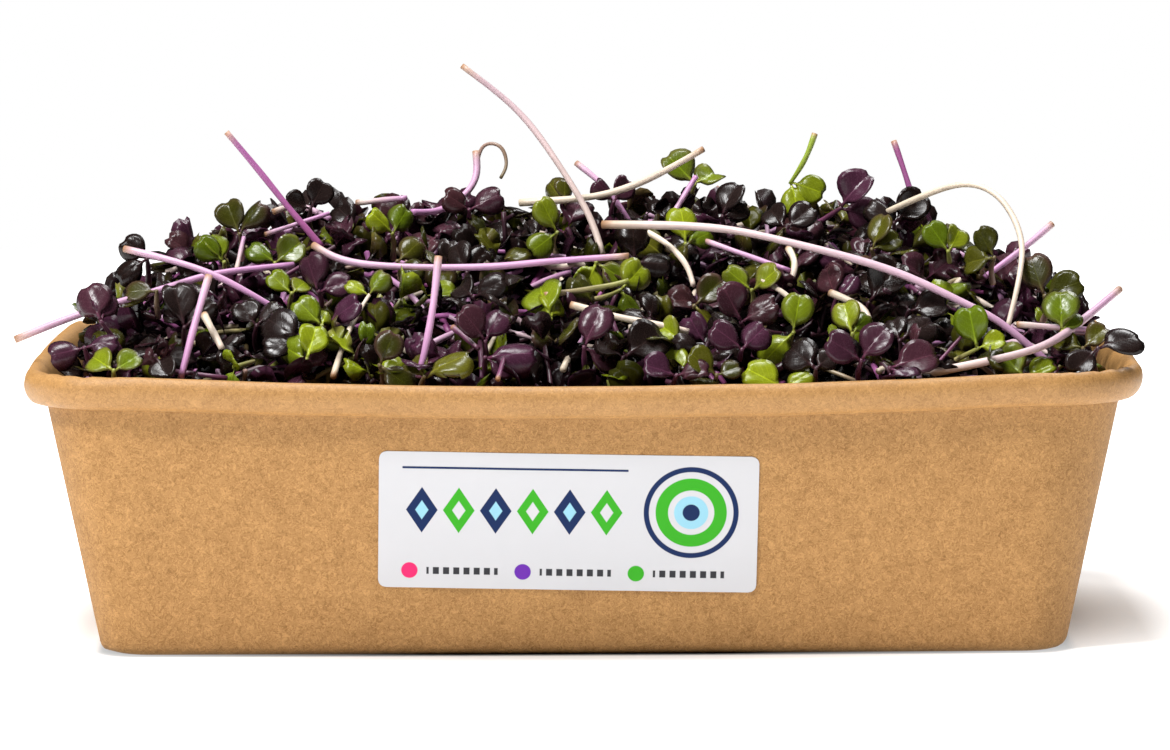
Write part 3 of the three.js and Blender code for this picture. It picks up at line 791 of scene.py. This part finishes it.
LEAF_COLOURS = {
    "purple": ((0.046, 0.016, 0.017), (0.052, 0.015, 0.034)),
    "black": ((0.009, 0.004, 0.003), (0.020, 0.012, 0.011)),
    "green": ((0.080, 0.120, 0.004), (0.220, 0.262, 0.008)),
    "olive": ((0.032, 0.034, 0.003), (0.085, 0.082, 0.006)),
}
STALK_COLOURS = {"purple": (0.10, 0.028, 0.055), "black": (0.05, 0.016, 0.026),
                 "green": (0.26, 0.28, 0.05), "olive": (0.12, 0.10, 0.03)}
UNDER_COLOURS = {"purple": (0.040, 0.008, 0.020), "black": (0.018, 0.006, 0.010),
                 "green": (0.080, 0.120, 0.012), "olive": (0.040, 0.020, 0.010)}
BLUSH_COLOUR = (0.12, 0.035, 0.06)


def leaf_frame(turn, tilt, yaw):
    """The turning of a leaf that faces the front: turn swings it in that plane (0 right, 90 up), tilt
    leans its face up and yaw turns it about the vertical."""
    stand = Euler((math.radians(90), 0, 0)).to_matrix()
    swing = Euler((0, math.radians(-turn), 0)).to_matrix()
    lean = Euler((math.radians(-tilt), 0, 0)).to_matrix()
    spin = Euler((0, 0, math.radians(yaw))).to_matrix()
    return np.array(spin @ lean @ swing @ stand)


def leaf_tint(kind, place, side, radius, chance):
    low, high = (np.array(c) for c in LEAF_COLOURS[kind])
    body = mix(low, high, chance.random()) * chance.uniform(0.85, 1.15)
    tint = np.tile(body, (len(place), 1))
    stalk = np.exp(-(place[:, :1] / 0.17) ** 2)
    tint = mix(tint, np.array(STALK_COLOURS[kind]), stalk * 0.8)
    if kind in ("green", "olive"):
        blush = chance.random() ** 2 * 0.5
        edge = (radius[:, None] ** 4) * blush
        tint = mix(tint, np.array(BLUSH_COLOUR), edge)
    under = np.array(UNDER_COLOURS[kind]) * chance.uniform(0.8, 1.3)
    return mix(tint, under, side[:, None] * 0.85)


def leaf_shape(cup, droop, fold, width):
    """How one leaf is bent, drawn from ranges."""
    return dict(cup=chance.uniform(*cup), droop=chance.uniform(*droop), fold=chance.uniform(*fold),
                wave=chance.uniform(0.0, 0.05), puff=chance.uniform(0.0, 0.04),
                width=chance.uniform(*width))


# Below FULL_LEVEL the wall leans in, and at WALL_LEVEL it has ended.
FULL_LEVEL, WALL_LEVEL = 41.0, 43.2
WALL_CLEAR = 1.2
BOW_REACH = 66.0


def keep_inside(points):
    """Points in millimetres, drawn in where they are below the rim and would meet the wall."""
    x, y, z = points.T
    t = np.clip(z / FULL_LEVEL, 0, 1)
    half_x = mix(FOOT_HALF[0], TOP_HALF[0], t) / MM - WALL_CLEAR
    bow = mix(FOOT_BOW[1], TOP_BOW[1], t) / MM * np.clip(1 - (x / BOW_REACH) ** 2, 0, 1)
    half_y = mix(FOOT_HALF[1], TOP_HALF[1], t) / MM - WALL_CLEAR + bow
    beyond = ((np.abs(x) / half_x) ** 8 + (np.abs(y) / half_y) ** 8) ** (1 / 8)
    draw = np.where((z < WALL_LEVEL) & (beyond > 1), 1 / np.maximum(beyond, 1e-6), 1.0)
    return np.stack([x * draw, y * draw, z], axis=-1)


def add_sprout(bunch, kind, stem_kind, route, leaves):
    """A stem along a route in millimetres with its leaves at the far end."""
    line, tangent = add_stem(bunch, stem_kind, route, SPROUT_RADIUS, 0.55, (0.0,))
    for length, turn, tilt in leaves:
        yaw = chance.uniform(-LEAF_YAW, LEAF_YAW)
        shape = leaf_shape((-0.45, 0.35), (-0.1, 0.4), (-0.08, 0.16), (0.68, 0.84))
        length *= chance.uniform(1.0, 1.08)
        blade, faces, place, side, ring = leaf_copy(SHOWN_LEAF, length, seed=chance.uniform(0, 6), **shape)
        points = keep_inside(blade @ leaf_frame(turn, tilt, yaw).T + line[-1] - tangent[-1] * 0.3)
        bunch.add(points * MM, faces, place, leaf_tint(kind, place, side, ring, chance), 1)


leaf_skin, shader, place = start_material("leaf_skin")
tint = place.attribute("tint", "Color")
blade_x = place.node("ShaderNodeSeparateXYZ", {}, {0: place.attribute("place", "Vector")})
blade_y = Wire(blade_x.tree, blade_x.socket.node.outputs[1])
off_rib = blade_y.size()
rib = 1.0 - (off_rib / (0.045 - 0.028 * blade_x)).ramp(0.2, 1.0)
comb = (blade_x - off_rib * 0.85) * 6.5 + place.noise(0.25, 1) * 0.8
comb = (comb.maths("FRACT", comb) - 0.5).size()
veins = (1.0 - comb.ramp(0.02, 0.12)) * off_rib.ramp(0.0, 0.05) * (1.0 - off_rib.ramp(0.25, 0.5))
mottle = place.noise(0.8, 3, 0.6)
speck = place.noise(5.0, 2, 0.6).ramp(0.35, 0.75)
darkened = tint.scaled(0.72 + mottle * 0.42 + speck * 0.14)
(rib * 0.45 + veins * 0.14).blend(darkened, tint.scaled(2.6)).feed(shader, "Base Color")
(0.13 + mottle * 0.22 + speck * 0.05).feed(shader, "Roughness")
shader.inputs["Specular IOR Level"].default_value = 0.29
blister = place.noise(0.7, 2, 0.5)
grain = place.noise(7.0, 2, 0.6)
(blister * 0.8 + grain * 0.10 - rib * 0.3 - veins * 0.15).bump(0.17, 0.0003).feed(shader, "Normal")

SLOT_OF = {"purple": "leaf_purple", "black": "leaf_dark", "green": "leaf_green", "olive": "leaf_olive"}
STEM_OF = {"purple": "plum", "black": "dark", "green": "lime", "olive": "tan"}
SHOWN_LEAF = leaf_pattern(26, 4)
SPROUT_RADIUS = 0.5
LEAF_YAW = 42
HEAP_HALF_LENGTH = 84.0
FRONT_FALL, BACK_FALL = 58.0, 54.0
RIM_LEVEL = 43.5
HEAP_TOP = 21.9
CREST = 4.0
USUAL_FOOT = (0, 4, -4.5)


def heap_surface(x, y):
    """Height in millimetres of the heap's leafy top."""
    along = 1 - np.clip(np.abs(x) / HEAP_HALF_LENGTH, 0, 1) ** 4
    depth = np.where(y < CREST, (CREST - y) / FRONT_FALL, (y - CREST) / BACK_FALL)
    return RIM_LEVEL + HEAP_TOP * along * (1 - np.clip(depth, 0, 1) ** 1.2)


# Name, leaf colour, spot on the heap, rise over its surface, and for each leaf its length, turn and
# tilt. A few have a foot of their own, measured from the tip.
SHOWN_SPROUTS = [
    ("far_left", "purple", (-74, -41), 5, [(6.5, 120, 20), (5.5, 65, 30)], (4, 4, -8)),
    ("left_corner", "purple", (-76, -48), 3, [(5.5, 190, 25), (5, 20, 35)]),
    ("left_low", "green", (-71, -55), 1, [(5.5, 150, 35), (4.5, 40, 40)]),
    ("left_back", "black", (-68, -23), 8, [(5, 145, 15), (5.5, 215, 25)]),
    ("left_folded", "olive", (-66, -31), 5, [(6, 185, 50), (5, 175, 40)]),
    ("left_grey", "black", (-61, -43), 3, [(7, 95, 25), (6, 45, 20)]),
    ("left_wet", "black", (-65, -51), 2, [(5.5, 145, 50), (5.5, 310, 45)]),
    ("left_green", "green", (-56, -22), 4, [(5.5, 135, 15), (5, 100, 35)]),
    ("heart_back", "olive", (-54, -14), 5, [(6, 115, 15), (6, 65, 15)]),
    ("crest_left", "black", (-43, -8), 5, [(4.5, 160, 25), (5, 60, 10)]),
    ("back_green", "green", (-48, -23), 3, [(5.5, 40, 10), (5, 130, 30)]),
    ("purple_left", "purple", (-41, -32), 2, [(6.5, 120, 10), (5.5, 25, 30)]),
    ("purple_low_left", "purple", (-39, -40), 1, [(6, 40, 25), (5.5, 315, 15)]),
    ("lime_left", "green", (-42, -51), 1, [(5.5, 160, 10), (6.5, 65, 30)]),
    ("green_upper_left", "green", (-40, -43), 2, [(6, 130, 30), (4, 60, 40)]),
    ("cream_left", "green", (-33, -34), 2, [(4, 130, 40), (4.5, 60, 20)], (-5, -18, -11)),
    ("green_low", "olive", (-31, -53), 1, [(5.5, 65, 15), (6, 315, 30)]),
    ("dark_curled", "black", (-50, -42), 2, [(5, 120, 40), (5, 55, 35)]),
    ("dark_cup", "black", (-43, -48), 2, [(7.5, 145, 20), (6, 185, 40)]),
    ("teal_left", "green", (-45, -32), 2, [(5, 135, 35), (4, 45, 45)]),
    ("green_top_left", "green", (-30, -13), 2, [(5, 135, 10), (5.5, 50, 20)]),
    ("olive_middle", "olive", (-29, -23), 2, [(5.5, 40, 20), (5.5, 335, 30)]),
    ("skyline_left", "purple", (-18, -7), 3, [(5, 145, 10), (5.5, 30, 15)]),
    ("black_middle", "black", (-18, -27), 2, [(5.5, 125, 15), (5.5, 50, 25)]),
    ("dark_round", "black", (-17, -33), 1, [(6, 30, 10), (5, 150, 30)]),
    ("hearts", "purple", (-15, -48), 2, [(6.5, 125, 10), (6, 65, 25)]),
    ("violet_glossy", "purple", (-15, -51), 1, [(7.5, 10, 35), (5, 315, 50)]),
    ("folded_edge", "olive", (-24, -56), 0, [(7.5, 45, 45), (5, 140, 50)]),
    ("green_oblong", "green", (-5, -40), 1, [(8, 125, 35), (6, 50, 35)]),
    ("green_crest", "green", (-4, -16), 3, [(6, 115, 10), (5.5, 215, 20)]),
    ("back_olive", "olive", (-3, -4), 3, [(5.5, 140, 20), (4, 75, 20)]),
    ("skyline_middle", "purple", (5, -4), 3, [(4.5, 125, 15), (5, 45, 15)]),
    ("olive_right_middle", "green", (2, -24), 2, [(6, 235, 15), (6, 320, 30)]),
    ("glossy_middle", "purple", (0, -50), 2, [(7, 70, 15), (6, 330, 35)]),
    ("wet_black", "black", (6, -51), 1, [(7.5, 35, 25), (5, 120, 40)]),
    ("pointed_green", "green", (6, -31), 1, [(6, 40, 20), (5.5, 290, 25)], (-7, 4, -2)),
    ("green_top", "green", (18, 1), 4, [(6.5, 125, 30), (6.5, 35, 60)]),
    ("green_behind", "green", (16, -20), 3, [(6, 90, 15), (5, 25, 30)]),
    ("green_centre", "green", (26, -31), 1, [(5.5, 140, 20), (5.5, 45, 30)]),
    ("purple_centre", "purple", (24, -43), 2, [(6.5, 115, 10), (6.5, 35, 20)]),
    ("grey_centre", "olive", (17, -36), 1, [(6, 45, 20), (5.5, 305, 30)]),
    ("wet_grey", "black", (10, -42), 2, [(5.5, 60, 25), (4.5, 140, 45)]),
    ("mottled", "green", (15, -48), 2, [(5, 150, 20), (5, 255, 20)]),
    ("low_glossy", "purple", (14, -56), 0, [(5.5, 155, 35), (5, 20, 35)]),
    ("low_green_centre", "olive", (20, -56), 0, [(5.5, 135, 25), (4, 25, 40)]),
    ("dark_cluster", "purple", (24, -51), 2, [(6, 135, 20), (5.5, 45, 30)]),
    ("low_green_right", "green", (30, -56), -2, [(6.5, 145, 35), (5, 35, 40)]),
    ("lime_right", "green", (32, -46), 2, [(6, 80, 10), (6.5, 225, 20)]),
    ("dark_low_right", "black", (35, -56), 1, [(6.5, 150, 35), (5, 30, 35)]),
    ("purple_right", "purple", (42, -54), 2, [(6.5, 145, 15), (6.5, 60, 15)]),
    ("violet_right", "purple", (46, -56), 1, [(7.5, 20, 30), (5, 335, 45)]),
    ("right_crest", "purple", (41, -7), 4, [(7, 55, 10), (6.5, 345, 10)], (-4, 4, -3)),
    ("dark_behind", "black", (49, -13), 5, [(6.5, 45, 10), (5, 140, 20)]),
    ("curled_right", "green", (33, -1), 5, [(5.5, 280, 35), (5.5, 340, 30)], (4, 0, 8)),
    ("right_olive", "olive", (64, -25), 7, [(5.5, 125, 10), (5.5, 190, 30)]),
    ("right_dark_low", "olive", (71, -35), 6, [(7, 115, 15), (6, 25, 15)]),
    ("right_bright", "green", (73, -46), 4, [(6.5, 95, 15), (4, 50, 30)]),
    ("right_green", "green", (60, -50), 2, [(6.5, 105, 10), (4.5, 25, 30)], (-7, 4, -4)),
    ("over_rim", "black", (78, -51), 3, [(7, 30, 50), (6, 225, 30)]),
    ("right_low", "olive", (76, -47), 2, [(5, 50, 25), (5, 155, 40)]),
    ("ruffled", "black", (44, -36), 2, [(8, 55, 20), (5, 45, 40)]),
    ("grey_right", "black", (50, -38), 2, [(6, 15, 30), (4.5, 105, 45)]),
    ("wet_right", "black", (48, -48), 2, [(7, 35, 40), (5, 120, 35)]),
    ("green_inner", "green", (41, -46), 2, [(5.5, 115, 20), (4.5, 50, 30)]),
    ("brown_inner", "purple", (39, -35), 2, [(6, 125, 20), (4.5, 65, 30)]),
    ("wet_back", "black", (32, -14), 3, [(6, 135, 30), (5.5, 45, 25)]),
    ("dark_right", "olive", (45, -22), 4, [(6, 85, 30), (5, 30, 35)]),
    ("green_back_right", "green", (57, -21), 5, [(5.5, 120, 20), (5, 50, 20)]),
    ("low_right", "green", (67, -51), -2, [(6.5, 130, 35), (5, 40, 35)]),
    ("dark_upper", "black", (8, -24), 2, [(7, 90, 15), (5.5, 355, 30)]),
    ("back_left", "olive", (-48, 32), 0, [(6, 125, 130), (6, 40, 140)], (3, -2, -10)),
    ("back_middle", "purple", (2, 38), 1, [(6, 120, 130), (6, 45, 140)], (2, -3, -10)),
    ("back_right", "green", (49, 32), -1, [(5.5, 135, 130), (6, 30, 135)], (-3, -2, -9)),
    ("grey_upper", "black", (22, -10), 3, [(6, 80, 20), (4.5, 25, 20)]),
]
chance = np.random.default_rng(5)
together = {kind: Bunch() for kind in SLOT_OF}
for name, kind, spot, rise, leaves, *own_foot in SHOWN_SPROUTS:
    tip = np.array([*spot, heap_surface(*map(np.array, spot)) + rise])
    foot = tip + np.array(own_foot[0] if own_foot else USUAL_FOOT)
    middle = (foot + tip) / 2 + chance.uniform(-0.8, 0.8, 3)
    own_node = "sprout_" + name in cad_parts
    bunch = Bunch() if own_node else together[kind]
    stem_kind = {"cream_left": "cream", "curled_right": "bright"}.get(name, STEM_OF[kind])
    add_sprout(bunch, kind, stem_kind, [foot, middle, tip], leaves)
    if own_node:
        piece = bunch.finish("leafed_" + name, [stem_skin, leaf_skin])
        stand_for(piece, "sprout_" + name)

# ---- The heap ----
# Hundreds of loose sprouts pressed into the tub and heaped over it: a near-black slab of painted shade
# under them, and over it layers of small sprouts at all angles, painted darker and less glossy further
# down as painted shade, with bare stems among them.
# The slab is painted shade: a near-black surface that stands for the darkness deep among the leaves.
CORE_HALF = (78.5, 53.0)
CORE_DEPTH = 8.2
CORE_FOOT = 0.93
DEEPEST_SHADE, PALER_SHADE = colour(0.002, 0.001, 0.001), colour(0.008, 0.004, 0.004)
core, grid = add_grid("painted_shade_core", 110, 76, 2)
gx, gy = grid[:, 0], grid[:, 1]
# The square grid is drawn in to the tub's rounded plan.
pull = np.maximum(np.abs(gx), np.abs(gy))
superround = (np.abs(gx) ** 8 + np.abs(gy) ** 8) ** (1 / 8)
factor = np.where(superround > 0, pull / np.maximum(superround, 1e-9), 1)
cx = gx * factor * CORE_HALF[0]
cy = gy * factor * CORE_HALF[1]
bumps = (np.sin(cx * 0.9) * np.cos(cy * 1.1) + np.sin(cx * 0.37 + 1) * np.sin(cy * 0.53 + 2)
         + 0.7 * np.sin(cx * 1.7 + cy * 1.3))
cz = heap_surface(cx, cy) - CORE_DEPTH + bumps
place_points(core, np.stack([cx, cy, cz], axis=-1) * MM)
bpy.ops.object.mode_set(mode="EDIT")
bpy.ops.mesh.select_all(action="SELECT")
bpy.ops.mesh.extrude_region_move(TRANSFORM_OT_translate={"value": (0, 0, -1 * MM)})
core_centre = (0, 0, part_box("packed_greens")[0].z)
bpy.ops.transform.resize(value=(CORE_FOOT, CORE_FOOT, 0.0), center_override=core_centre)
align_faces()
bpy.ops.object.shade_smooth()

shade_core_material, shader, place = start_material("painted_shade_core")
shade_mottle = place.noise(0.5, 4, 0.6)
shade_mottle.ramp(0.35, 0.7).blend(DEEPEST_SHADE, PALER_SHADE).feed(shader, "Base Color")
shader.inputs["Specular IOR Level"].default_value = 0.08
(0.5 + shade_mottle * 0.3).feed(shader, "Roughness")
place.noise(0.9, 3, 0.6, 0.8).bump(0.8, 0.0012).feed(shader, "Normal")
core.data.materials.append(shade_core_material)
stand_for(core, "packed_greens")

# A shaded copy of the leaf skin, with little sheen, for the small sprouts deeper in the heap: painted
# shade.
shaded_skin = leaf_skin.copy()
shaded_skin.name = "shaded_leaf_skin"
shaded_skin.node_tree.nodes["Principled BSDF"].inputs["Specular IOR Level"].default_value = 0.10
SKINS = [stem_skin, leaf_skin, shaded_skin]
SMALL_LEAF = leaf_pattern(16, 2)
FILL_COUNT = 1300
FILL_SPREAD = (81, 55)
FILL_HALF = (77.5, 53.0)
FILL_FOOT_HALF = (78, 52)
KINDS = ["purple", "black", "olive", "green"]
SHARES = [0.36, 0.34, 0.20, 0.10]
LAYERS = [1.2, 3.4, 5.2, 7.0]
SHALLOW = 2.4
chance = np.random.default_rng(23)
scattered = {kind: Bunch() for kind in SLOT_OF}
placed_count = 0
while placed_count < FILL_COUNT:
    x = chance.uniform(-FILL_SPREAD[0], FILL_SPREAD[0])
    y = chance.uniform(-FILL_SPREAD[1], FILL_SPREAD[1])
    if (abs(x) / FILL_HALF[0]) ** 9 + (abs(y) / FILL_HALF[1]) ** 9 > 1:
        continue
    surface = float(heap_surface(np.array(x), np.array(y)))
    depth = LAYERS[placed_count % len(LAYERS)] + chance.uniform(-0.8, 0.8)
    slope_x = float(heap_surface(np.array(x + 1.0), np.array(y))) - surface
    slope_y = float(heap_surface(np.array(x), np.array(y + 1.0))) - surface
    tip = np.array([x, y, surface - depth])
    outward = Vector((-slope_x, -slope_y, 1.0)).normalized()
    lean = outward + Vector(chance.normal(0, 0.6, 3))
    lean.normalize()
    below = tip - np.array(lean) * chance.uniform(5, 9) + np.append(chance.normal(0, 2.5, 2), 0)
    for axis, half in enumerate(FILL_FOOT_HALF):
        below[axis] = np.clip(below[axis], -half, half)
    kind = KINDS[chance.choice(4, p=SHARES)]
    bunch = scattered[kind]
    points, faces, place, line, tangent = stem_copy([below, tip], 0.42, 5, 3)
    # The buried stems' colours are painted darker, painted shade inside the heap.
    bunch.add(keep_inside(points) * MM, faces, place, stem_tint(STEM_OF[kind], place, ()) * 0.7, 0)
    face_up = lean.to_track_quat("Z", "X")
    heading = chance.uniform(0, 360)
    for side in (0, 180):
        length = chance.uniform(4.6, 6.6)
        shape = leaf_shape((-0.5, 0.5), (-0.1, 0.5), (-0.1, 0.25), (0.66, 0.86))
        blade, faces, place, under, ring = leaf_copy(SMALL_LEAF, length, seed=chance.uniform(0, 6), **shape)
        opening = math.radians(chance.uniform(-5, 55))
        spin = math.radians(heading + side + chance.uniform(-35, 35))
        turning = np.array(face_up.to_matrix() @ Euler((0, -opening, spin), "XYZ").to_matrix())
        points = keep_inside(blade @ turning.T + line[-1])
        # Painted shade: the deeper a small sprout sits in the heap, the darker its leaves are coloured.
        tint = leaf_tint(kind, place, under, ring, chance) * max(1.18 - 0.17 * depth, 0.05)
        bunch.add(points * MM, faces, place, tint, 1 if depth < SHALLOW else 2)
    placed_count += 1

# Loose bare stems, a few at chosen places and the rest lying in the heap's top layers.
LOOSE_COUNT = 330
LOOSE_X, LOOSE_Y = (-72, 72), (-48, 50)
LOOSE_END_X, LOOSE_END_Y = (-76, 76), (-50, 51)
LOOSE_KINDS = ("pink", "magenta", "cream", "dark", "lime", "white_pink")
LOOSE_SHARES = (0.22, 0.26, 0.16, 0.2, 0.06, 0.1)
EXTRA_STEMS = [
    ("cream", 0.5, [(9, -20, 63), (13, -23, 61), (16, -27, 58), (17, -31, 55)]),
    ("cream", 0.55, [(32, -22, 60), (33, -26, 58), (32, -30, 55)]),
    ("cream", 0.45, [(27, -30, 56), (31, -34, 54), (33, -38, 52)]),
    ("cream", 0.6, [(38, -34, 54), (43, -38, 52), (44, -42, 49)]),
    ("cream", 0.6, [(-58, -44, 52), (-55, -48, 47)]),
    ("tan", 0.32, [(-17, 2, 71), (-16, 2, 75), (-13, 1, 75), (-12, 0, 72), (-13, -2, 70)]),
    ("pink", 0.6, [(-17, 2, 74), (-17, 0, 69), (-22, -4, 65), (-27, -8, 65)]),
    ("white_pink", 0.4, [(-54, -24, 57), (-53, -20, 62)]),
    ("white_pink", 0.5, [(-49, -6, 65), (-45, -4, 66), (-40, -8, 64)]),
    ("pink", 0.5, [(14, -8, 64), (18, -2, 70)]),
    ("plum", 0.3, [(53, -52, 44), (58, -48, 49)]),
    ("white_pink", 0.5, [(66, -46, 50), (77, -44, 49)]),
    ("lime", 0.5, [(-6, -36, 54), (3, -34, 55), (7, -34, 56)]),
    ("pink", 0.45, [(19, -18, 61), (32, -28, 57)]),
    ("plum", 0.4, [(-13, -57, 43), (-12, -50, 46)]),
    ("plum", 0.45, [(-20, -46, 50), (-16, -50, 47)]),
    ("pink", 0.4, [(-50, -14, 62), (-40, -10, 65)]),
    ("white_pink", 0.5, [(-36, 0, 66), (-28, -4, 67)]),
]
loose = Bunch()
for kind, radius, route in EXTRA_STEMS:
    add_stem(loose, kind, route, radius, BARE_TAPER, (0.0,))
for _ in range(LOOSE_COUNT):
    x = chance.uniform(*LOOSE_X)
    y = chance.uniform(*LOOSE_Y)
    heading = chance.uniform(0, math.pi)
    reach = chance.uniform(5, 13)
    route = []
    for share in (-1, -0.3, 0.4, 1):
        px = np.clip(x + math.cos(heading) * reach * share, *LOOSE_END_X)
        py = np.clip(y + math.sin(heading) * reach * share, *LOOSE_END_Y)
        route.append((px, py, float(heap_surface(px, py)) - chance.uniform(1.5, 6.0)))
    kind = LOOSE_KINDS[chance.choice(6, p=LOOSE_SHARES)]
    points, faces, place, line, tangent = stem_copy(route, chance.uniform(0.34, 0.56), 6, 8)
    # The loose stems' colours are painted a little darker, painted shade within the heap's top layers.
    loose.add(points * MM, faces, place, stem_tint(kind, place, ()) * 0.8, 0)
stand_for(loose.finish("loose_stems", SKINS), "packed_greens")

for kind, slot in SLOT_OF.items():
    stand_for(scattered[kind].finish("heaped_" + kind, SKINS), "packed_greens")
    if together[kind].count:
        stand_for(together[kind].finish("surface_" + kind, SKINS), "packed_greens")
